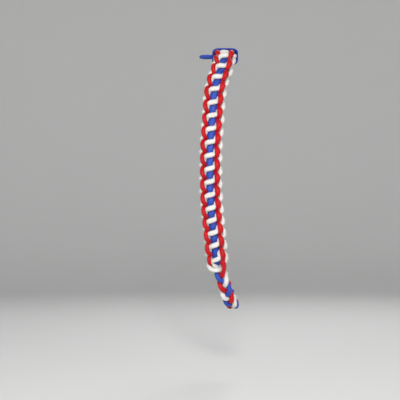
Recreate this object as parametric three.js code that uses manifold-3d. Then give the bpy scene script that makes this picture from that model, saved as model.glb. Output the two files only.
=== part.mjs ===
// Braided shoulder cord in red, white and blue: a wide braid down the front of the arm hole, which
// goes on as a thin three-strand plait under the arm and up the back to the same fastening.
// Millimetres, +Z up, the wearer's front towards -Y. The origin is the middle of the button loop.
import * as THREE from 'three';
import { mergeVertices } from 'three/addons/utils/BufferGeometryUtils.js';
import Module from 'manifold-3d';

// Driving dimensions
const cordDiameter = 4.6;
const cordGap = 0.2;
const wideBraidLength = 300;
const jointGap = 0.3;
const sleeveWall = 1.6;
const sleeveFloor = 4;
const sleeveClearance = 0.4;
const frontMouthDepth = 8.5;
const backMouthDepth = 6;
const sleeveCorner = 0.55;
const bodySteps = 10;
const buttonCordDiameter = 4;
const buttonEyeRadius = 6.2;

// The room that a cord takes in the braid, and the lengths that follow from it
const cordRoom = cordDiameter + cordGap;
const cordRadius = cordDiameter / 2;
const repeatLength = 3.5 * cordRoom;
const plaitLength = 8.75 * cordRoom;
const plaitSpread = 1.07 * cordRoom;
const plaitRise = 0.68 * cordRoom;
const blueCore = { across: -0.25, half: 0.75, halfThick: 0.45, depth: -0.17, swell: 0.08, top: 0.83 };

// Where the loop runs, from the mouth of the sleeve down the front, under the arm and up the back
const sleevePlace = { x: 24, frontY: -4, backY: 5 };
const routePoints = [
  [24, -4, 0], [24, -10, 0], [23.9, -15, -0.4], [23.8, -20, -1.6], [23.5, -25.5, -4.4], [23, -31, -8.8],
  [22.2, -35, -13.8], [20.8, -39, -20.8], [17.9, -43.2, -28.5], [14.6, -47.2, -36.5], [11.7, -50.8, -46],
  [9.5, -53.6, -58], [8.3, -56.2, -75], [6.6, -60, -99], [5, -62.6, -125], [4.7, -64, -150],
  [4.9, -64, -175], [6.4, -62, -201], [9.1, -57, -226.5], [11.7, -49.4, -252], [14, -42, -270],
  [18, -35.5, -282], [23.2, -27, -297], [28, -16, -313], [32.6, -3, -323], [34.6, 13, -326.5],
  [32.6, 32, -322], [27.8, 48, -309], [20.8, 61, -288], [13.4, 73, -252], [8.2, 82, -205],
  [6.4, 85, -155], [7.4, 81.5, -105], [10.4, 72, -64], [14.6, 57, -36], [19, 41, -18], [22.4, 26, -6.4],
  [23.8, 16.5, -1], [24, 11, 0], [24, 5, 0],
];

// One repeat of each cord in the wide braid. Columns: across the braid and towards the outside, as
// shares of the cord's room, and the place along it as a share of the repeat. A white cord takes two
// repeats to go once round the braid, a red cord takes one.
const whiteTurn = [
  { across: 2.52, along: 0.58, out: -0.65 },
  { across: 2.27, along: 0.68, out: -0.29 },
  { across: 1.75, along: 0.79, out: -0.15 },
  { across: 1.29, along: 0.91, out: -0.04 },
  { across: 1.02, along: 1.06, out: 0.38 },
  { across: 0.54, along: 1.22, out: 0.83 },
  { across: -0.27, along: 1.33, out: 0.94 },
  { across: -0.96, along: 1.40, out: 0.85 },
  { across: -1.40, along: 1.53, out: 0.44 },
  { across: -1.54, along: 1.70, out: 0.13 },
  { across: -1.83, along: 1.84, out: -0.02 },
  { across: -2.29, along: 1.94, out: -0.19 },
  { across: -2.56, along: 2.03, out: -0.56 },
  { across: -2.46, along: 2.11, out: -1.00 },
  { across: -1.96, along: 2.18, out: -1.25 },
  { across: -0.65, along: 2.27, out: -1.27 },
  { across: 0.65, along: 2.35, out: -1.27 },
  { across: 1.88, along: 2.44, out: -1.27 },
  { across: 2.38, along: 2.50, out: -1.06 },
];
const redLeftTurn = [
  { across: -2.44, along: 0.62, out: 0.79 },
  { across: -2.31, along: 0.77, out: 1.02 },
  { across: -2.02, along: 0.92, out: 1.04 },
  { across: -1.78, along: 1.07, out: 0.79 },
  { across: -1.74, along: 1.20, out: 0.36 },
  { across: -1.92, along: 1.30, out: 0.06 },
  { across: -2.21, along: 1.39, out: 0.03 },
  { across: -2.43, along: 1.49, out: 0.33 },
];
const redRightTurn = [
  { across: 1.50, along: 0.58, out: 0.83 },
  { across: 1.67, along: 0.81, out: 1.04 },
  { across: 1.83, along: 1.03, out: 1.17 },
  { across: 1.71, along: 1.25, out: 1.13 },
  { across: 1.50, along: 1.42, out: 0.92 },
];

// How far into its turn each cord is where the wide braid ends, and where the cords that stop there
// are tucked in, as shares of the repeat
const endOfBraid = 1.73;
const whiteTuck = 2.35;
const redTuck = 1.30;
const whiteLeaves = 1.40;
const redLeaves = 1.42;

// The way of three cords from the wide braid into the plait. Columns as above, along from the end of
// the wide braid, as a share of the repeat.
const whiteExit = [
  { across: -1.55, along: -0.21, out: 0.66 },
  { across: -2.08, along: -0.04, out: 0.42 },
  { across: -2.18, along: 0.13, out: 0.27 },
  { across: -1.80, along: 0.31, out: 0.25 },
  { across: -1.02, along: 0.49, out: 0.36 },
  { across: -0.18, along: 0.66, out: 0.26 },
  { across: 0.34, along: 0.81, out: -0.20 },
];
const redExit = [
  { across: 1.56, along: -0.06, out: 0.96 },
  { across: 1.58, along: 0.18, out: 1.02 },
  { across: 1.44, along: 0.42, out: 1.00 },
  { across: 1.14, along: 0.65, out: 0.90 },
  { across: 0.80, along: 0.83, out: 0.75 },
];
const blueExit = [
  { across: -0.25, along: -0.24, out: -0.18 },
  { across: -0.38, along: 0.12, out: -0.38 },
  { across: -0.54, along: 0.36, out: -0.68 },
  { across: -0.80, along: 0.60, out: -0.66 },
  { across: -1.02, along: 0.80, out: -0.34 },
];
const plaitStart = 0.95;
const plaitTurns = { blue: Math.PI, white: -Math.PI / 3, red: Math.PI / 3 };

// The round of the button loop's eye, as shares of its radius, and how far its legs stand apart and
// reach into the sleeve's wall
const eyeRound = [
  { x: 0.55, y: -0.92 },
  { x: -0.25, y: -0.97 },
  { x: -0.87, y: -0.50 },
  { x: -0.87, y: 0.50 },
  { x: -0.25, y: 0.97 },
  { x: 0.55, y: 0.92 },
];
const eyeLeg = 0.72;
const eyeInWall = 0.3;
const eyeSteps = 20;

// Sides of the cords' sections, points in a whole turn of the plait, and steps of the core in a repeat
const braidSides = 6;
const plaitSides = 5;
const coreSides = 8;
const pointsPerTurn = 12;
const coreSteps = 3;
const corePlaces = 8;

const route = new THREE.CatmullRomCurve3(routePoints.map((p) => new THREE.Vector3(...p)));
route.arcLengthDivisions = 4000;
const routeLength = route.getLength();
const sideways = new THREE.Vector3(1, 0, 0);

// A point set off a curve: across it, and outwards from the middle of the loop
function setOff(point, tangent, across, out) {
  const over = sideways.clone().addScaledVector(tangent, -sideways.dot(tangent)).normalize();
  const outward = tangent.clone().cross(over);
  return point.clone().addScaledVector(over, across).addScaledVector(outward, out);
}

// A place beside the route: across the braid, along it and outwards
function beside(across, along, out) {
  const share = THREE.MathUtils.clamp(along / routeLength, 0, 1);
  return setOff(route.getPointAt(share), route.getTangentAt(share), across, out);
}

// A cord's own curve: a spline through places beside the route, laid on it. Its steps lie at those
// places, so that each repeat has the same faces.
class LaidCord extends THREE.Curve {
  constructor(places, from, to) {
    super();
    this.spline = new THREE.CatmullRomCurve3(places, false, 'centripetal');
    this.from = this.shareAt(from);
    this.to = this.shareAt(to);
    this.steps = Math.round((this.to - this.from) * (places.length - 1));
  }

  getUtoTmapping(u) {
    return u;
  }

  // The spline's share at a place along the route, by halving until no share lies between
  shareAt(along) {
    let low = 0;
    let high = 1;
    let middle = (low + high) / 2;
    while (middle > low && middle < high) {
      if (this.spline.getPoint(middle).y < along) low = middle;
      else high = middle;
      middle = (low + high) / 2;
    }
    return middle;
  }

  getPoint(t) {
    const place = this.spline.getPoint(THREE.MathUtils.lerp(this.from, this.to, t));
    return beside(place.x, place.y, place.z);
  }
}

const place = (row, start) => new THREE.Vector3(
  row.across * cordRoom, start + row.along * repeatLength, row.out * cordRoom);

// A turn of the braid repeated from above the sleeve down to where the cord leaves the wide braid
function turns(table, period, shift, leaves) {
  const count = Math.ceil(wideBraidLength / (period * repeatLength)) + 1;
  const places = [];
  for (let k = count; k >= 0; k -= 1) {
    const start = wideBraidLength + (shift - endOfBraid - period * k) * repeatLength;
    const kept = k > 0 ? table : table.filter((row) => row.along <= leaves);
    kept.forEach((row) => places.push(place(row, start)));
  }
  return places.filter((p) => p.y > -repeatLength);
}

const exit = (table) => table.map((row) => place(row, wideBraidLength));

// The plait's run of one cord, from where its three cords first lie as a plait
const plaitFrom = wideBraidLength + plaitStart * repeatLength;
function plait(turn) {
  const places = [];
  const count = Math.ceil((routeLength - plaitFrom) / plaitLength * pointsPerTurn) + 1;
  for (let i = 0; i <= count; i += 1) {
    const angle = turn + 2 * Math.PI * i / pointsPerTurn;
    const along = plaitFrom + plaitLength * i / pointsPerTurn;
    places.push(new THREE.Vector3(
      plaitSpread * Math.cos(angle), along, plaitRise * Math.sin(2 * angle)));
  }
  return places;
}

function mesh(name, geometry, color) {
  const material = new THREE.MeshStandardMaterial({ color, roughness: 0.55, metalness: 0 });
  const piece = new THREE.Mesh(geometry, material);
  piece.name = name;
  return piece;
}

const white = '#f2f0e8';
const red = '#d01528';
const blue = '#2f55b4';

// A closed outline with even sides
function ring(radius, sides) {
  const corners = [];
  for (let i = 0; i < sides; i += 1) {
    const angle = 2 * Math.PI * (i + 0.5) / sides;
    corners.push(new THREE.Vector2(radius * Math.cos(angle), radius * Math.sin(angle)));
  }
  return new THREE.Shape(corners);
}

function cord(name, places, from, to, sides, color) {
  const curve = new LaidCord(places, from, to);
  const shape = new THREE.ExtrudeGeometry(ring(cordRadius, sides), { steps: curve.steps, extrudePath: curve });
  return mesh(name, shape, color);
}

// The places of the blue core, which swells up between the white bars and then becomes a plait's cord
function bluePlaces() {
  const rows = [];
  const leaves = wideBraidLength + blueExit[0].along * repeatLength;
  const step = repeatLength / corePlaces;
  for (let along = -repeatLength; along < leaves - step; along += step) {
    const phase = (along - wideBraidLength) / repeatLength + endOfBraid - blueCore.top;
    const out = blueCore.depth + blueCore.swell * Math.cos(2 * Math.PI * phase);
    rows.push(new THREE.Vector3(blueCore.across * cordRoom, along, out * cordRoom));
  }
  return [...rows, ...exit(blueExit), ...plait(plaitTurns.blue)];
}

// The blue core's solid: a straight bar of unit radius, bent to the route and given its width
function blueCord(places, from, to) {
  const steps = Math.round((to - from) / repeatLength * coreSteps);
  const depth = to - from;
  const bar = new THREE.ExtrudeGeometry(ring(1, coreSides), { steps, depth, bevelEnabled: false });
  const curve = new LaidCord(places, from, to);
  const rounding = [blueExit[0], blueExit[2]].map((row) => wideBraidLength + row.along * repeatLength);
  const corner = bar.attributes.position;
  for (let i = 0; i < corner.count; i += 1) {
    const along = from + corner.getZ(i);
    const t = (curve.shareAt(along) - curve.from) / (curve.to - curve.from);
    const round = THREE.MathUtils.smoothstep(along, ...rounding);
    const half = THREE.MathUtils.lerp(blueCore.half * cordRoom, cordRadius, round);
    const thick = THREE.MathUtils.lerp(blueCore.halfThick * cordRoom, cordRadius, round);
    const point = setOff(
      curve.getPoint(t), curve.getTangent(t), corner.getX(i) * half, corner.getY(i) * thick);
    corner.setXYZ(i, point.x, point.y, point.z);
  }
  return mesh('braid_blue', bar, blue);
}

// Manifold solids for the fastening, which is cut and joined
const wasm = await Module();
wasm.setup();

function solid(geometry) {
  const bare = geometry.clone();
  bare.deleteAttribute('normal');
  bare.deleteAttribute('uv');
  const merged = mergeVertices(bare, 1e-4);
  return new wasm.Manifold(new wasm.Mesh({
    numProp: 3,
    vertProperties: new Float32Array(merged.attributes.position.array),
    triVerts: new Uint32Array(merged.index.array),
  }));
}

function geometryOf(manifold) {
  const { vertProperties, triVerts } = manifold.getMesh();
  const geometry = new THREE.BufferGeometry();
  geometry.setAttribute('position', new THREE.BufferAttribute(vertProperties, 3));
  geometry.setIndex(new THREE.BufferAttribute(triVerts, 1));
  geometry.computeVertexNormals();
  return geometry;
}

// A box with round long edges, lying along Y from one end to the other, narrowed at the far end. Its
// outline is a unit square whose corners are rounded.
function roundBar(nearHalf, farHalf, fromY, toY, taper, steps) {
  const outline = new THREE.Shape();
  const corner = sleeveCorner;
  outline.moveTo(1, corner - 1);
  outline.lineTo(1, 1 - corner);
  outline.quadraticCurveTo(1, 1, 1 - corner, 1);
  outline.lineTo(corner - 1, 1);
  outline.quadraticCurveTo(-1, 1, -1, 1 - corner);
  outline.lineTo(-1, corner - 1);
  outline.quadraticCurveTo(-1, -1, corner - 1, -1);
  outline.lineTo(1 - corner, -1);
  outline.quadraticCurveTo(1, -1, 1, corner - 1);
  const depth = toY - fromY;
  const bar = new THREE.ExtrudeGeometry(outline, { depth, steps, curveSegments: 3, bevelEnabled: false });
  const point = bar.attributes.position;
  for (let i = 0; i < point.count; i += 1) {
    const y = fromY + depth - point.getZ(i);
    const share = THREE.MathUtils.smoothstep(y, ...taper);
    const x = point.getX(i) * THREE.MathUtils.lerp(nearHalf.x, farHalf.x, share);
    const z = point.getY(i) * THREE.MathUtils.lerp(nearHalf.z, farHalf.z, share);
    const middle = THREE.MathUtils.lerp(nearHalf.middle, farHalf.middle, share);
    point.setXYZ(i, sleevePlace.x + x, y, middle + z);
  }
  return bar;
}

// The fastening: a sleeve with a mouth for each end of the loop, and a cord eye for the shoulder button
function buttonLoop() {
  const tables = [...whiteTurn, ...redLeftTurn, ...redRightTurn];
  const widest = Math.max(...tables.map((row) => Math.abs(row.across)));
  const highest = Math.max(...tables.map((row) => row.out));
  const lowest = Math.min(...tables.map((row) => row.out));
  const spare = cordRadius + sleeveClearance;
  const wideMouth = {
    x: widest * cordRoom + spare,
    z: (highest - lowest) / 2 * cordRoom + spare,
    middle: (highest + lowest) / 2 * cordRoom,
  };
  const plaitMouth = { x: plaitSpread + spare, z: plaitRise + spare, middle: 0 };
  const grown = (half) => ({ ...half, x: half.x + sleeveWall, z: half.z + sleeveWall });
  const { frontY, backY } = sleevePlace;
  const floorFront = (frontY + backY - sleeveFloor) / 2;
  const floorBack = floorFront + sleeveFloor;
  const mouthFront = frontY - frontMouthDepth;
  const mouthBack = backY + backMouthDepth;
  const taper = [floorFront, floorBack + backMouthDepth / 3];
  const body = solid(roundBar(grown(wideMouth), grown(plaitMouth), mouthFront, mouthBack, taper, bodySteps));
  const pocket = solid(roundBar(wideMouth, wideMouth, mouthFront - sleeveWall, floorFront, taper, 1));
  const backPocket = solid(roundBar(plaitMouth, plaitMouth, floorBack, mouthBack + sleeveWall, taper, 1));
  const radius = buttonEyeRadius + buttonCordDiameter / 2;
  const legs = [wideMouth, plaitMouth].map((mouth) => sleevePlace.x - mouth.x - sleeveWall * eyeInWall);
  const eye = new THREE.CatmullRomCurve3([
    new THREE.Vector3(legs[0], -radius * eyeLeg, 0),
    ...eyeRound.map((row) => new THREE.Vector3(radius * row.x, radius * row.y, 0)),
    new THREE.Vector3(legs[1], radius * eyeLeg, 0),
  ], false, 'centripetal');
  const eyeSection = ring(buttonCordDiameter / 2, coreSides);
  const loop = solid(new THREE.ExtrudeGeometry(eyeSection, { steps: eyeSteps, extrudePath: eye }));
  const fastening = body.subtract(pocket).subtract(backPocket).add(loop);
  return mesh('button_loop', geometryOf(fastening), blue);
}

const firstFrom = (places) => places.find((p) => p.y > 0).y;
const end = routeLength - jointGap;
const cut = plaitFrom - jointGap / 2;
const plaitCut = plaitFrom + jointGap / 2;
const whiteOne = [
  ...turns(whiteTurn, 2, 0, whiteLeaves),
  ...exit(whiteExit),
  ...plait(plaitTurns.white),
];
const whiteTwo = turns(whiteTurn, 2, -1, whiteTuck);
const redLeft = turns(redLeftTurn, 1, 0, redTuck);
const redRight = [
  ...turns(redRightTurn, 1, 0, redLeaves),
  ...exit(redExit),
  ...plait(plaitTurns.red),
];
const blueCentre = bluePlaces();
const last = (places) => places[places.length - 1].y;

const aiguillette = new THREE.Group();
aiguillette.add(
  buttonLoop(),
  cord('braid_white_1', whiteOne, firstFrom(whiteOne), cut, braidSides, white),
  cord('braid_white_2', whiteTwo, firstFrom(whiteTwo), last(whiteTwo), braidSides, white),
  cord('braid_red_left', redLeft, firstFrom(redLeft), last(redLeft), braidSides, red),
  cord('braid_red_right', redRight, firstFrom(redRight), cut, braidSides, red),
  blueCord(blueCentre, jointGap, cut),
  cord('plait_white', whiteOne, plaitCut, end, plaitSides, white),
  cord('plait_red', redRight, plaitCut, end, plaitSides, red),
  cord('plait_blue', blueCentre, plaitCut, end, plaitSides, blue),
);

export default aiguillette;
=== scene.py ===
# A braided shoulder cord in red, white and blue, held as it is worn. Metres, +Z up, front towards -Y.
import bisect
import math
import bmesh
import bpy
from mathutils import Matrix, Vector, kdtree, noise


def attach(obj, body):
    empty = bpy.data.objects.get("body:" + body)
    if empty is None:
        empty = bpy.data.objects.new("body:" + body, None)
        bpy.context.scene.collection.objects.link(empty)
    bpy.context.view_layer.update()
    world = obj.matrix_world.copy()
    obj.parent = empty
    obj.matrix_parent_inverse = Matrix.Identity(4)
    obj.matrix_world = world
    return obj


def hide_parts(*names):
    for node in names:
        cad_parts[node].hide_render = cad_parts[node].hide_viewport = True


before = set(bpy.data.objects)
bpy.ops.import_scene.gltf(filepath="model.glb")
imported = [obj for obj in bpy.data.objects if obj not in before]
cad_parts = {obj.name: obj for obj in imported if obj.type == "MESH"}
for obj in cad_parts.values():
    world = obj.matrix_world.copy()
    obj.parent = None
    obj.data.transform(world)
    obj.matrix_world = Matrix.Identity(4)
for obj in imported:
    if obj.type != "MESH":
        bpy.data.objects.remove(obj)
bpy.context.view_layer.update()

print("frame loaded")

# The camera looks along +Y at the height of the chest, as the photograph does
camera = {
    "place": (-0.0089, -1.660, -0.1884),
    "lens": 113.4,
    "sensor": 36.0,
    "reach": 20,
}


def addCamera():
    data = bpy.data.cameras.new("frontCamera")
    data.lens = camera["lens"]
    data.sensor_width = camera["sensor"]
    data.clip_end = camera["reach"]
    rig = bpy.data.objects.new("frontCamera", data)
    rig.location = camera["place"]
    rig.rotation_euler = (math.radians(90), 0, 0)
    bpy.context.collection.objects.link(rig)
    bpy.context.scene.camera = rig


addCamera()

# The way of the loop from the sleeve down the front of the arm hole, under the arm and up the back
route = {
    "samples": 100,  # between two of its points
    "points": [
        (0.024, -0.004, 0), (0.024, -0.010, 0), (0.0239, -0.015, -0.0004), (0.0238, -0.020, -0.0016),
        (0.0233, -0.0255, -0.0044), (0.0224, -0.031, -0.0088), (0.0212, -0.035, -0.0138),
        (0.0191, -0.039, -0.0208), (0.0162, -0.0432, -0.0285), (0.0136, -0.0472, -0.0365),
        (0.0113, -0.0508, -0.046), (0.0094, -0.0536, -0.058), (0.0083, -0.0562, -0.075),
        (0.0066, -0.060, -0.099), (0.005, -0.0626, -0.125), (0.0047, -0.064, -0.150),
        (0.0049, -0.064, -0.175), (0.0064, -0.062, -0.201), (0.0091, -0.057, -0.2265),
        (0.0117, -0.0494, -0.252), (0.014, -0.042, -0.270), (0.0176, -0.0355, -0.282),
        (0.0220, -0.027, -0.297), (0.0266, -0.016, -0.313), (0.0318, -0.003, -0.323),
        (0.0346, 0.013, -0.3265), (0.0326, 0.032, -0.322), (0.0278, 0.048, -0.309),
        (0.0208, 0.061, -0.288), (0.0134, 0.073, -0.252), (0.0082, 0.082, -0.205),
        (0.0064, 0.085, -0.155), (0.0074, 0.0815, -0.105), (0.0104, 0.072, -0.064),
        (0.0146, 0.057, -0.036), (0.019, 0.041, -0.018), (0.0224, 0.026, -0.0064),
        (0.0238, 0.0165, -0.001), (0.024, 0.011, 0), (0.024, 0.005, 0),
    ],
}


def smoothShare(value, low, high):
    # How far a value is from low to high, leaving the one and reaching the other gently
    share = max(0.0, min((value - low) / (high - low), 1.0))
    return share * share * (3 - 2 * share)


def splinePoint(points, t):
    # A smooth curve through the points, t counted in points
    i = max(0, min(int(t), len(points) - 2))
    a = points[i]
    b = points[i + 1]
    before = points[i - 1] if i else a * 2 - b
    after = points[i + 2] if i + 2 < len(points) else b * 2 - a
    near = (a - before).length ** 0.5
    middle = (b - a).length ** 0.5
    far = (after - b).length ** 0.5
    leave = ((a - before) / near - (b - before) / (near + middle) + (b - a) / middle) * middle
    arrive = ((b - a) / middle - (after - a) / (middle + far) + (after - b) / far) * middle
    u = t - i
    bend = (b - a) * 3 - leave * 2 - arrive
    return a + leave * u + bend * u ** 2 + ((a - b) * 2 + leave + arrive) * u ** 3


def layRoute():
    # Places along the route, each with its length so far, its way across and its way outwards
    points = [Vector(p) for p in route["points"]]
    count = (len(points) - 1) * route["samples"]
    line = [splinePoint(points, k / route["samples"]) for k in range(count + 1)]
    lengths = [0.0]
    for a, b in zip(line, line[1:]):
        lengths.append(lengths[-1] + (b - a).length)
    frames = []
    for k, point in enumerate(line):
        tangent = (line[min(k + 1, count)] - line[max(k - 1, 0)]).normalized()
        over = Vector((1, 0, 0)) - tangent * tangent.x
        over.normalize()
        frames.append((point, over, tangent.cross(over)))
    return lengths, frames


routeLengths, routeFrames = layRoute()
routeLength = routeLengths[-1]


def beside(across, along, out):
    # A point beside the route, and the way across the braid there
    along = max(0.0, min(along, routeLength))
    k = max(0, min(bisect.bisect_right(routeLengths, along) - 1, len(routeLengths) - 2))
    share = (along - routeLengths[k]) / (routeLengths[k + 1] - routeLengths[k])
    point, over, outward = [a.lerp(b, share) for a, b in zip(routeFrames[k], routeFrames[k + 1])]
    return point + over * across + outward * out, over


print("route laid, %.0f mm" % (routeLength * 1000))

# What the five cords share. Lengths in the tables are shares of the room or of the repeat.
braid = {
    "room": 0.0048,  # what one cord takes across the braid
    "repeat": 0.0168,
    "wideLength": 0.300,
    "drawn": [  # places along the loop, and how far the repeat is drawn down there
        (0.0, 0.0), (0.070, 0.0013), (0.110, 0.0021), (0.142, 0.0025), (0.175, 0.0023), (0.210, 0.0018),
        (0.226, 0.0013), (0.242, -0.0002), (0.258, -0.0010), (0.274, -0.0011), (0.293, 0.0009),
        (0.312, 0.0012), (0.326, 0.0030), (0.345, 0.0052), (0.365, 0.0052), (0.560, 0.0), (1.0, 0.0),
    ],
    "endOfBraid": 1.73,  # how far into its turn each cord is at the end of the wide braid
    "plaitStart": 0.95,
    "plaitLength": 0.042,  # one whole turn of a strand in the thin plait
    "plaitSpread": 0.005136,  # of a strand's line to each side
    "plaitRise": 0.003264,
    "plaitPlaces": 12,  # in one turn
    "plaitFullness": 1.26,
    "radius": 0.0026,
    "segments": 18,
    "step": 0.0007,  # between two rings
    "finePlaces": 0.00035,  # between the places that a cord's line is first laid through
    "softening": 8,  # times that the line is smoothed
    "endInSleeve": 0.0003,
    "unevenness": 0.00022,  # how far a cord strays, as hand work does
    "unevenOver": 0.011,  # the length over which it strays
    "unevenSeed": 3,
    "plumpness": 0.03,
    "plumpOften": 1.7,  # how much oftener the fullness changes than the place
    "tip": 0.02,  # what is left of the section's area at a rounded end
    "leastPressed": 0.25,  # of a cord's radius, where it gives way most
    "pressSteps": 7,
    "clearance": 0.00003,
    "weld": 1e-6,
}
noise.seed_set(braid["unevenSeed"])


def drawnDown(along):
    # The braid isn't quite even: it is drawn longer down the chest and closer towards the plait
    for (low, first), (high, second) in zip(braid["drawn"], braid["drawn"][1:]):
        if low <= along <= high:
            return first + (second - first) * smoothShare(along, low, high)
    return 0.0


def placeRow(row, start):
    across, along, out, full = row
    return (Vector((across * braid["room"], start + along * braid["repeat"], out * braid["room"])), full)


def turns(table, period, shift, leaves):
    # One cord's turn, repeated from inside the sleeve down to where it leaves the wide braid
    count = math.ceil(braid["wideLength"] / (period * braid["repeat"])) + 1
    rows = []
    for k in range(count, -1, -1):
        start = braid["wideLength"] + (shift - braid["endOfBraid"] - period * k) * braid["repeat"]
        rows += [placeRow(row, start) for row in table if k or row[1] <= leaves]
    return [row for row in rows if row[0].y > -braid["repeat"]]


def wayOut(table):
    return [placeRow(row, braid["wideLength"]) for row in table]


def plait(turn):
    # One strand of the thin plait, to the end of the route
    start = braid["wideLength"] + braid["plaitStart"] * braid["repeat"]
    each = braid["plaitLength"] / braid["plaitPlaces"]
    rows = []
    for i in range(math.ceil((routeLength - start) / each) + 2):
        angle = turn + 2 * math.pi * i / braid["plaitPlaces"]
        across = braid["plaitSpread"] * math.cos(angle)
        place = Vector((across, start + each * i, braid["plaitRise"] * math.sin(2 * angle)))
        rows.append((place, braid["plaitFullness"]))
    return rows


def centreLine(rows, start, end, strand):
    # Even steps along a cord: its centre, fullness, place along the route and the way across there.
    # Each strand strays by a noise of its own, read halfway between grid points, where it isn't nil.
    points = [row[0] for row in rows]
    fine = []
    for i in range(len(rows) - 1):
        count = max(2, math.ceil((points[i + 1] - points[i]).length / braid["finePlaces"]))
        for k in range(count):
            u = k / count
            spot = splinePoint(points, i + u)
            if start <= spot.y <= end:
                blend = smoothShare(u, 0, 1)
                full = rows[i][1] * (1 - blend) + rows[i + 1][1] * blend
                fine.append((*beside(spot.x, spot.y + drawnDown(spot.y), spot.z), spot.y, full))
    centres = [f[0] for f in fine]
    for _ in range(braid["softening"]):
        inner = [(a + b * 2 + c) / 4 for a, b, c in zip(centres, centres[1:], centres[2:])]
        centres = [centres[0], *inner, centres[-1]]
    line = []
    gone = 0.0
    due = 0.0
    for i in range(len(centres) - 1):
        span = (centres[i + 1] - centres[i]).length
        while due <= gone + span:
            share = (due - gone) / max(span, 1e-9)
            centre = centres[i].lerp(centres[i + 1], share)
            wander = Vector((due / braid["unevenOver"], strand, 0.5))
            centre = centre + noise.noise_vector(wander) * braid["unevenness"]
            swelling = noise.noise(wander * braid["plumpOften"]) * braid["plumpness"]
            full = fine[i][3] * (1 + swelling)
            ring = {"centre": centre, "over": fine[i][1], "along": fine[i][2], "full": full, "gone": due}
            line.append(ring)
            due += braid["step"]
        gone += span
    return line


def roundSections(line, radius):
    # Radius and directions of each ring of a round cord, its ends rounded
    side = line[0]["over"]
    for i, ring in enumerate(line):
        tangent = (line[min(i + 1, len(line) - 1)]["centre"] - line[max(i - 1, 0)]["centre"]).normalized()
        side = (side - tangent * side.dot(tangent)).normalized()
        full = radius * ring["full"]
        toEnd = min(ring["gone"], line[-1]["gone"] - ring["gone"])
        full *= math.sqrt(max(braid["tip"], 1 - max(0.0, 1 - toEnd / full) ** 2))
        ring.update(tangent=tangent, side=side, halfAcross=full, halfThick=full)
    return line


# Columns: across the braid, along the repeat, outwards, and how full the cord is there. In a wayOut or a
# tailEnd the second column counts from the end of the wide braid.
whiteCords = {
    "turn": [  # once round the braid in two repeats
        (2.52, 0.37, -0.14, 1.08), (2.56, 0.49, -0.02, 1.08), (2.52, 0.61, 0.04, 1.08),
        (2.34, 0.70, 0.04, 1.08), (1.96, 0.76, 0.02, 1.04), (1.54, 0.80, 0.10, 1.0),
        (1.22, 0.87, 0.28, 1.0), (1.08, 0.97, 0.48, 1.02), (1.00, 1.08, 0.70, 1.06),
        (0.82, 1.18, 0.88, 1.14), (0.42, 1.245, 0.97, 1.24), (-0.10, 1.285, 1.00, 1.30),
        (-0.72, 1.325, 0.96, 1.30), (-1.26, 1.39, 0.74, 1.18), (-1.56, 1.52, 0.34, 1.02),
        (-1.72, 1.67, 0.12, 1.0), (-1.96, 1.81, 0.02, 1.02), (-2.30, 1.91, -0.06, 1.06),
        (-2.50, 1.99, -0.20, 1.10), (-2.54, 2.06, -0.52, 1.10), (-2.36, 2.12, -0.94, 1.08),
        (-1.86, 2.17, -1.18, 1.08), (-0.65, 2.20, -1.22, 1.12), (0.65, 2.22, -1.22, 1.12),
        (1.85, 2.24, -1.10, 1.08), (2.40, 2.28, -0.52, 1.08),
    ],
    "wayOut": [
        (1.90, -1.03, -0.30, 1.0), (1.25, -0.94, -0.15, 0.95), (0.84, -0.86, 0.20, 0.95),
        (0.70, -0.76, 0.55, 1.05), (0.86, -0.64, 0.78, 1.12), (0.78, -0.53, 0.88, 1.15),
        (0.12, -0.42, 0.94, 1.18), (-0.62, -0.36, 0.92, 1.15), (-1.20, -0.28, 0.76, 1.05),
        (-1.44, -0.15, 0.60, 0.94), (-1.36, -0.02, 0.52, 0.92), (-1.08, 0.11, 0.42, 0.92),
        (-0.74, 0.23, 0.22, 0.95), (-0.36, 0.34, -0.12, 1.0), (-0.10, 0.40, -0.72, 1.0),
        (-0.40, 0.36, -1.28, 1.0), (-1.30, 0.18, -1.42, 1.0), (-2.20, 0.04, -0.96, 1.02),
        (-2.56, 0.05, -0.20, 1.05), (-2.50, 0.15, 0.26, 1.08), (-2.16, 0.29, 0.54, 1.12),
        (-1.60, 0.40, 0.68, 1.16), (-0.92, 0.475, 0.68, 1.18), (-0.25, 0.55, 0.42, 1.15),
        (0.34, 0.67, -0.10, 1.1),
    ],
    "tailEnd": [
        (0.65, -0.52, -1.22, 1.12), (1.85, -0.57, -1.06, 1.08), (2.36, -0.52, -0.52, 1.08),
        (2.46, -0.41, -0.14, 1.08), (2.46, -0.28, 0.00, 1.08), (2.32, -0.14, 0.04, 1.06),
        (2.00, 0.00, 0.02, 1.0), (1.60, 0.13, -0.08, 0.95), (1.20, 0.26, -0.25, 0.9),
    ],
    "leaves": 0.62,  # where the first cord goes on with its wayOut
    "tuck": 2.21,  # where the second goes on with its tailEnd
    "plaitTurn": -math.pi / 3,
}
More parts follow.
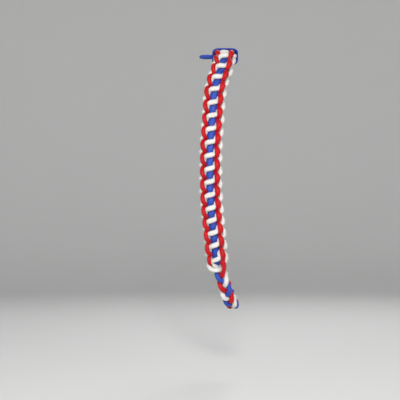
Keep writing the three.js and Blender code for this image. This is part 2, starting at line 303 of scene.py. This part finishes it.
redCords = {
    "leftTurn": [
        (-2.18, 0.27, 0.42, 1.02), (-2.29, 0.39, 0.76, 1.06), (-2.30, 0.53, 0.98, 1.10),
        (-2.20, 0.69, 1.08, 1.10), (-1.96, 0.83, 0.94, 1.06), (-1.66, 0.95, 0.56, 1.0),
        (-1.52, 1.04, 0.12, 0.92), (-1.68, 1.11, -0.10, 0.92), (-1.98, 1.18, 0.06, 0.96),
    ],
    "rightTurn": [
        (1.32, 0.54, 0.20, 0.82), (1.42, 0.66, 0.68, 1.02), (1.62, 0.82, 1.08, 1.30),
        (1.74, 1.00, 1.22, 1.42), (1.66, 1.18, 1.12, 1.32), (1.46, 1.34, 0.74, 1.04),
        (1.34, 1.44, 0.32, 0.86),
    ],
    "wayOut": [
        (1.56, -0.10, 0.98, 1.1), (1.60, 0.12, 1.06, 1.15), (1.46, 0.36, 1.02, 1.12),
        (1.14, 0.62, 0.90, 1.08), (0.80, 0.83, 0.75, 1.1),
    ],
    "tailEnd": [
        (-2.02, -0.54, 0.42, 0.98), (-2.16, -0.42, 0.74, 1.0), (-2.14, -0.28, 0.84, 0.98),
        (-2.00, -0.14, 0.76, 0.9), (-1.74, -0.02, 0.62, 0.78), (-1.38, 0.09, 0.56, 0.66),
        (-1.02, 0.18, 0.40, 0.62), (-0.70, 0.26, 0.16, 0.62),
    ],
    "leaves": 1.40,  # where the right cord goes on with its wayOut
    "tuck": 1.12,  # where the left goes on with its tailEnd
    "plaitTurn": math.pi / 3,
}
blueCore = {
    "across": -0.12,
    "depth": -0.17,
    "swell": 0.10,
    "top": 0.83,  # where it stands highest between two white bars
    "halfAcross": 0.0052,
    "halfThick": 0.0030,
    "wayOut": [
        (-0.12, -0.24, -0.17, 1.0), (-0.14, 0.10, -0.24, 1.0), (-0.34, 0.36, -0.60, 1.0),
        (-0.80, 0.60, -0.66, 1.0), (-1.02, 0.80, -0.34, 1.0),
    ],
    "places": 8,  # in one repeat
    "strand": 5,
    "plaitTurn": math.pi,
}


def blueLine():
    # The core lies flat and swells between the white bars, then turns into a round strand
    flatUntil = braid["wideLength"] + blueCore["wayOut"][0][1] * braid["repeat"]
    roundFrom = braid["wideLength"] + blueCore["wayOut"][2][1] * braid["repeat"]
    rows = []
    each = braid["repeat"] / blueCore["places"]
    along = -braid["repeat"]
    while along < flatUntil - each:
        phase = (along - braid["wideLength"]) / braid["repeat"] + braid["endOfBraid"] - blueCore["top"]
        out = blueCore["depth"] + blueCore["swell"] * math.cos(2 * math.pi * phase)
        rows.append((Vector((blueCore["across"] * braid["room"], along, out * braid["room"])), 1.0))
        along += each
    rows += wayOut(blueCore["wayOut"]) + plait(blueCore["plaitTurn"])
    end = routeLength - braid["endInSleeve"]
    line = roundSections(centreLine(rows, braid["endInSleeve"], end, blueCore["strand"]), braid["radius"])
    for ring in line:
        share = smoothShare(ring["along"], flatUntil, roundFrom)
        side = ring["over"] - ring["tangent"] * ring["over"].dot(ring["tangent"])
        ring["side"] = side.normalized()
        ring["halfAcross"] += (blueCore["halfAcross"] - ring["halfAcross"]) * (1 - share)
        ring["halfThick"] += (blueCore["halfThick"] - ring["halfThick"]) * (1 - share)
    return line


def firstPlace(rows):
    return next(row[0].y for row in rows if row[0].y > 0)


def layCords():
    # The centre line of each cord, from the sleeve to where it is tucked in or comes back to the sleeve
    end = routeLength - braid["endInSleeve"]
    first = turns(whiteCords["turn"], 2, 0, whiteCords["leaves"]) + wayOut(whiteCords["wayOut"])
    first += plait(whiteCords["plaitTurn"])
    second = turns(whiteCords["turn"], 2, -1, whiteCords["tuck"]) + wayOut(whiteCords["tailEnd"])
    left = turns(redCords["leftTurn"], 1, 0, redCords["tuck"]) + wayOut(redCords["tailEnd"])
    right = turns(redCords["rightTurn"], 1, 0, redCords["leaves"]) + wayOut(redCords["wayOut"])
    right += plait(redCords["plaitTurn"])
    rows = {"whiteCord1": first, "whiteCord2": second, "redCordLeft": left, "redCordRight": right}
    lines = {}
    for strand, (name, places) in enumerate(rows.items()):
        line = centreLine(places, firstPlace(places), end, strand)
        lines[name] = roundSections(line, braid["radius"])
    lines["blueCord"] = blueLine()
    return lines


cordLines = layCords()
for name, line in cordLines.items():
    print("%s laid, %.0f mm long" % (name, line[-1]["gone"] * 1000))


def unitSection(turn, squareness):
    # A place on a unit section. Squareness under 1 squares the section off.
    across = math.copysign(abs(math.cos(turn)) ** squareness, math.cos(turn))
    thick = math.copysign(abs(math.sin(turn)) ** squareness, math.sin(turn))
    return across, thick


def rolledTube(rings, segments, squareness=1.0):
    # A grid rolled up round the middles of its rings
    tube = bmesh.new()
    layer = tube.loops.layers.uv.new("cordUV")
    bmesh.ops.create_grid(tube, x_segments=segments, y_segments=len(rings) - 1, size=0.5, calc_uvs=True)
    for i, vert in enumerate(tube.verts):
        ring = rings[i // (segments + 1)]
        turn = 2 * math.pi * (i % (segments + 1) % segments) / segments
        across, thick = unitSection(turn, squareness)
        sideways = ring["side"] * (across * ring["halfAcross"])
        upwards = ring["tangent"].cross(ring["side"]) * (thick * ring["halfThick"])
        vert.co = ring["centre"] + sideways + upwards
    stretch = rings[-1]["gone"] / (2 * math.pi * braid["radius"])
    for face in tube.faces:
        face.smooth = True
        for loop in face.loops:
            loop[layer].uv.y *= stretch
    return tube


def closeTube(tube, segments):
    bmesh.ops.remove_doubles(tube, verts=tube.verts[:], dist=braid["weld"])
    bmesh.ops.holes_fill(tube, edges=[e for e in tube.edges if e.is_boundary], sides=segments)
    bmesh.ops.recalc_face_normals(tube, faces=tube.faces[:])


def pressCord(tube, line, others):
    # Where two cords meet, each gives way to the plane between them, and the core gives way to the others
    for i, vert in enumerate(tube.verts):
        centre = line[i // (braid["segments"] + 1)]["centre"]
        reach = vert.co - centre
        for tree, radii, yields in others:
            spot, index, distance = tree.find(centre + reach)
            radius = radii[index] + braid["clearance"]
            if distance > radius:
                continue
            low = braid["leastPressed"]
            high = 1.0
            for _ in range(braid["pressSteps"]):
                middle = (low + high) / 2
                depth = (centre + reach * middle - spot).length / radius
                if depth > (middle if yields else 1.0):
                    low = middle
                else:
                    high = middle
            reach = reach * low
        vert.co = centre + reach


def addPiece(name, shape, material):
    mesh = bpy.data.meshes.new(name)
    shape.to_mesh(mesh)
    shape.free()
    mesh.materials.append(material)
    piece = bpy.data.objects.new(name, mesh)
    bpy.context.collection.objects.link(piece)
    return piece


# The sheath of each cord: colour, the painted shade between the yarns, and the size of its fine braid
sheath = {
    "columns": 10,  # of slanting stitches round the cord
    "stitches": 13,  # in a length of one circumference
    "slant": 0.9,
    "stitchFullness": 0.6,  # under 1 the stitches are rounder
    "furrowSharpness": 6.0,  # of the furrows between two columns
    "height": 0.00022,
    "strength": 0.55,
    "specular": 0.22,
    "sheen": 0.03,
    "sheenRoughness": 0.4,
    "patches": 55,
    "patchDetail": 3,
    "patchShare": 0.55,  # of the colour's change from patches, the rest is painted shade from stitches
    "colours": {
        # lit is the colour on the stitches' tops, low is painted shade for the hollows between them
        "white": {"lit": (0.82, 0.81, 0.78), "low": (0.50, 0.47, 0.44), "roughness": 0.42},
        "red": {"lit": (0.71, 0.003, 0.010), "low": (0.22, 0.001, 0.003), "roughness": 0.42},
        "blue": {"lit": (0.036, 0.088, 0.48), "low": (0.016, 0.040, 0.25), "roughness": 0.36},
        "thread": {"lit": (0.02, 0.06, 0.40), "low": (0.01, 0.025, 0.22), "roughness": 0.5},
    },
}


def mathNode(tree, operation, first, second=0.0):
    node = tree.nodes.new("ShaderNodeMath")
    node.operation = operation
    for socket, value in zip(node.inputs, (first, second)):
        if isinstance(value, bpy.types.NodeSocket):
            tree.links.new(value, socket)
        else:
            socket.default_value = value
    return node.outputs[0]


def sheathMaterial(name):
    look = sheath["colours"][name]
    material = bpy.data.materials.new(name + "Sheath")
    material.use_nodes = True
    tree = material.node_tree
    shader = tree.nodes["Principled BSDF"]
    shader.inputs["Roughness"].default_value = look["roughness"]
    shader.inputs["Specular IOR Level"].default_value = sheath["specular"]
    shader.inputs["Sheen Weight"].default_value = sheath["sheen"]
    shader.inputs["Sheen Roughness"].default_value = sheath["sheenRoughness"]
    uvMap = tree.nodes.new("ShaderNodeUVMap")
    uvMap.uv_map = "cordUV"
    apart = tree.nodes.new("ShaderNodeSeparateXYZ")
    tree.links.new(uvMap.outputs[0], apart.inputs[0])
    columns = mathNode(tree, "MULTIPLY", apart.outputs[0], sheath["columns"])
    zigzag = mathNode(tree, "MULTIPLY", mathNode(tree, "PINGPONG", columns, 0.5), 2.0)
    slanted = mathNode(tree, "MULTIPLY", zigzag, sheath["slant"])
    phase = mathNode(tree, "ADD", mathNode(tree, "MULTIPLY", apart.outputs[1], sheath["stitches"]), slanted)
    wave = mathNode(tree, "SINE", mathNode(tree, "MULTIPLY", phase, 2 * math.pi))
    stitch = mathNode(tree, "MULTIPLY", mathNode(tree, "ADD", wave, 1.0), 0.5)
    edge = mathNode(tree, "ABSOLUTE", mathNode(tree, "SUBTRACT", zigzag, 0.5))
    furrow = mathNode(tree, "POWER", mathNode(tree, "MULTIPLY", edge, 2.0), sheath["furrowSharpness"])
    rounded = mathNode(tree, "POWER", stitch, sheath["stitchFullness"])
    relief = mathNode(tree, "SUBTRACT", rounded, furrow)
    bump = tree.nodes.new("ShaderNodeBump")
    bump.inputs["Strength"].default_value = sheath["strength"]
    bump.inputs["Distance"].default_value = sheath["height"]
    tree.links.new(relief, bump.inputs["Height"])
    tree.links.new(bump.outputs[0], shader.inputs["Normal"])
    places = tree.nodes.new("ShaderNodeTexCoord")
    patches = tree.nodes.new("ShaderNodeTexNoise")
    patches.inputs["Scale"].default_value = sheath["patches"]
    patches.inputs["Detail"].default_value = sheath["patchDetail"]
    tree.links.new(places.outputs["Object"], patches.inputs["Vector"])
    # Painted shade: the stitch relief's hollows take the darker low colour; the patches add random tone
    worn = mathNode(tree, "MULTIPLY", patches.outputs[0], sheath["patchShare"])
    paintedStitchShade = mathNode(tree, "MULTIPLY", relief, 1 - sheath["patchShare"])
    share = mathNode(tree, "ADD", paintedStitchShade, worn)
    colour = tree.nodes.new("ShaderNodeMix")
    colour.data_type = "RGBA"
    colour.inputs["A"].default_value = (*look["low"], 1)
    colour.inputs["B"].default_value = (*look["lit"], 1)
    tree.links.new(share, colour.inputs["Factor"])
    tree.links.new(colour.outputs["Result"], shader.inputs["Base Color"])
    return material


cordPieces = {
    "whiteCord1": {"stands": ["braid_white_1", "plait_white"], "slot": "white_cord", "colour": "white"},
    "whiteCord2": {"stands": ["braid_white_2"], "slot": "white_cord", "colour": "white"},
    "redCordLeft": {"stands": ["braid_red_left"], "slot": "red_cord", "colour": "red"},
    "redCordRight": {"stands": ["braid_red_right", "plait_red"], "slot": "red_cord", "colour": "red"},
    "blueCord": {"stands": ["braid_blue", "plait_blue"], "slot": "blue_cord", "colour": "blue"},
}


def cordTree(line):
    tree = kdtree.KDTree(len(line))
    for i, ring in enumerate(line):
        tree.insert(ring["centre"], i)
    tree.balance()
    return tree


def finishPiece(name, shape, material, stands):
    piece = addPiece(name, shape, material)
    if stands:
        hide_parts(*stands)
    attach(piece, "root")
    print("%s made, %d faces" % (name, len(piece.data.polygons)))


def addCords():
    trees = {name: cordTree(line) for name, line in cordLines.items()}
    for name, facts in cordPieces.items():
        line = cordLines[name]
        tube = rolledTube(line, braid["segments"])
        others = []
        for other, tree in trees.items():
            if other not in (name, "blueCord"):
                radii = [ring["halfThick"] for ring in cordLines[other]]
                others.append((tree, radii, name != "blueCord"))
        pressCord(tube, line, others)
        closeTube(tube, braid["segments"])
        finishPiece(name, tube, sheathMaterial(facts["colour"]), facts["stands"])


addCords()

# The fastening: a sleeve of wound thread over both ends of the loop, and a cord eye for the button
fastening = {
    "middle": 0.024,
    "wide": {"across": 0.0150, "thick": 0.0086, "rise": -0.00024},  # inside the mouth for the braid
    "thin": {"across": 0.0078, "thick": 0.0060, "rise": 0.0},  # inside the mouth for the plait
    "wall": 0.0012,
    "front": -0.0125,
    "frontFloor": -0.0015,
    "backFloor": 0.0025,
    "back": 0.011,
    "taper": (-0.0015, 0.0045),
    "squareness": 0.45,
    "segments": 64,
    "steps": 12,  # from lip to lip
    "threadRadius": 0.0005,
    "threadPlaces": 72,  # in one turn
    "threadSides": 8,
    "threadProud": 0.55,  # of its radius, over the sleeve's wall
    "eyeRadius": 0.002,
    "eyeSteps": 16,  # between two of its points
    "eyePoints": [
        (0.0085, -0.0059, 0), (0.0045, -0.0075, 0), (-0.0021, -0.0080, 0), (-0.0071, -0.0041, 0),
        (-0.0071, 0.0041, 0), (-0.0021, 0.0080, 0), (0.0045, 0.0075, 0), (0.0157, 0.0059, 0),
    ],
}


def sleeveRing(y, grown, shape=None):
    # A section of the sleeve, square to Y, between the shapes of its two mouths
    share = smoothShare(y, *fastening["taper"]) if shape is None else shape
    wide = fastening["wide"]
    thin = fastening["thin"]
    size = {key: wide[key] * (1 - share) + thin[key] * share for key in wide}
    return {
        "centre": Vector((fastening["middle"], y, size["rise"])),
        "side": Vector((1, 0, 0)),
        "tangent": Vector((0, 1, 0)),
        "halfAcross": size["across"] + grown,
        "halfThick": size["thick"] + grown,
        "gone": abs(y),
    }


def sleeveBody():
    # From the floor of the front pocket out round its lip, along the outside and into the back pocket
    wall = fastening["wall"]
    front = fastening["front"]
    back = fastening["back"]
    rings = [sleeveRing(fastening["frontFloor"], 0, 0), sleeveRing(front + wall / 3, 0, 0)]
    rings += [sleeveRing(front, wall / 3, 0), sleeveRing(front, wall * 2 / 3, 0)]
    steps = fastening["steps"]
    for i in range(steps + 1):
        rings.append(sleeveRing(front + wall / 3 + (back - front - wall * 2 / 3) * i / steps, wall))
    rings += [sleeveRing(back, wall * 2 / 3, 1), sleeveRing(back, wall / 3, 1)]
    rings += [sleeveRing(back - wall / 3, 0, 1), sleeveRing(fastening["backFloor"], 0, 1)]
    body = rolledTube(rings, fastening["segments"], fastening["squareness"])
    closeTube(body, fastening["segments"])
    return body


def threadLine():
    # One thread, wound turn beside turn from the front lip to the back lip
    radius = fastening["threadRadius"]
    front = fastening["front"] + radius
    length = fastening["back"] - fastening["front"] - 2 * radius
    count = round(length / (2 * radius) * fastening["threadPlaces"])
    line = []
    gone = 0.0
    for i in range(count + 1):
        turn = 2 * math.pi * i / fastening["threadPlaces"]
        ring = sleeveRing(front + length * i / count, fastening["wall"] + radius * fastening["threadProud"])
        across, thick = unitSection(turn, fastening["squareness"])
        centre = ring["centre"] + Vector((across * ring["halfAcross"], 0, thick * ring["halfThick"]))
        if line:
            gone += (centre - line[-1]["centre"]).length
        line.append({"centre": centre, "over": Vector((0, 1, 0)), "full": 1.0, "gone": gone})
    return roundSections(line, radius)


def eyeLine():
    points = [Vector(p) for p in fastening["eyePoints"]]
    steps = fastening["eyeSteps"]
    count = (len(points) - 1) * steps
    line = []
    gone = 0.0
    for i in range(count + 1):
        centre = splinePoint(points, i / steps)
        if line:
            gone += (centre - line[-1]["centre"]).length
        line.append({"centre": centre, "over": Vector((0, 0, 1)), "full": 1.0, "gone": gone})
    return roundSections(line, fastening["eyeRadius"])


def addFastening():
    blue = sheathMaterial("blue")
    thread = sheathMaterial("thread")
    finishPiece("threadSleeve", sleeveBody(), thread, ["button_loop"])
    wound = rolledTube(threadLine(), fastening["threadSides"])
    closeTube(wound, fastening["threadSides"])
    finishPiece("woundThread", wound, thread, [])
    eye = rolledTube(eyeLine(), braid["segments"])
    closeTube(eye, braid["segments"])
    finishPiece("buttonEye", eye, blue, [])


addFastening()

# Soft studio light from the front, both sides and behind, and a pale floor that rises to a round backdrop
studio = {
    "floorHeight": -0.42,
    "floorReach": 2.3,
    "wallCurve": 0.8,
    "wallHeight": 2.6,
    "curveSteps": 12,
    "rimSteps": 64,
    "floorColour": (0.75, 0.75, 0.74),
    "floorRoughness": 0.9,
    "world": (0.95, 0.97, 1.0),
    "worldStrength": 0.27,
    "target": (0.01, 0, -0.16),  # what each light points at
    "lights": [
        {"name": "key", "place": (0.05, -2.1, 0.5), "size": 0.4, "spread": 100, "power": 10.2},
        {"name": "left", "place": (-1.3, -1.5, 0.3), "size": 0.8, "spread": 100, "power": 3.4},
        {"name": "right", "place": (1.3, -1.5, 0.2), "size": 0.8, "spread": 100, "power": 3.4},
        {"name": "back", "place": (0.5, 1.6, 1.0), "size": 1.0, "spread": 90, "power": 5},
    ],
}


def addFloor():
    # A disc whose rim is spun up into a wall, with a wide curve between them
    shape = bmesh.new()
    reach = studio["floorReach"]
    curve = studio["wallCurve"]
    profile = [(0.0, 0.0), (reach - curve, 0.0)]
    for i in range(1, studio["curveSteps"] + 1):
        angle = math.pi / 2 * i / studio["curveSteps"]
        profile.append((reach - curve + curve * math.sin(angle), curve - curve * math.cos(angle)))
    profile.append((reach, studio["wallHeight"]))
    verts = [shape.verts.new((x, 0, studio["floorHeight"] + z)) for x, z in profile]
    edges = [shape.edges.new(pair) for pair in zip(verts, verts[1:])]
    bmesh.ops.spin(shape, geom=verts + edges, cent=(0, 0, 0), axis=(0, 0, 1), angle=2 * math.pi,
                   steps=studio["rimSteps"], use_merge=True)
    bmesh.ops.remove_doubles(shape, verts=shape.verts[:], dist=1e-5)
    bmesh.ops.recalc_face_normals(shape, faces=shape.faces[:])
    for face in shape.faces:
        face.smooth = True
    material = bpy.data.materials.new("paleFloor")
    material.use_nodes = True
    shader = material.node_tree.nodes["Principled BSDF"]
    shader.inputs["Base Color"].default_value = (*studio["floorColour"], 1)
    shader.inputs["Roughness"].default_value = studio["floorRoughness"]
    addPiece("paleFloor", shape, material)


def addLights():
    target = Vector(studio["target"])
    for light in studio["lights"]:
        data = bpy.data.lights.new(light["name"], "AREA")
        data.size = light["size"]
        data.energy = light["power"]
        data.spread = math.radians(light["spread"])
        lamp = bpy.data.objects.new(light["name"], data)
        lamp.location = light["place"]
        lamp.rotation_euler = (target - lamp.location).to_track_quat("-Z", "Y").to_euler()
        bpy.context.collection.objects.link(lamp)
    world = bpy.data.worlds.new("paleRoom")
    world.use_nodes = True
    background = world.node_tree.nodes["Background"]
    background.inputs["Color"].default_value = (*studio["world"], 1)
    background.inputs["Strength"].default_value = studio["worldStrength"]
    bpy.context.scene.world = world
    bpy.context.scene.view_settings.view_transform = "Standard"


addFloor()
addLights()
print("studio set")
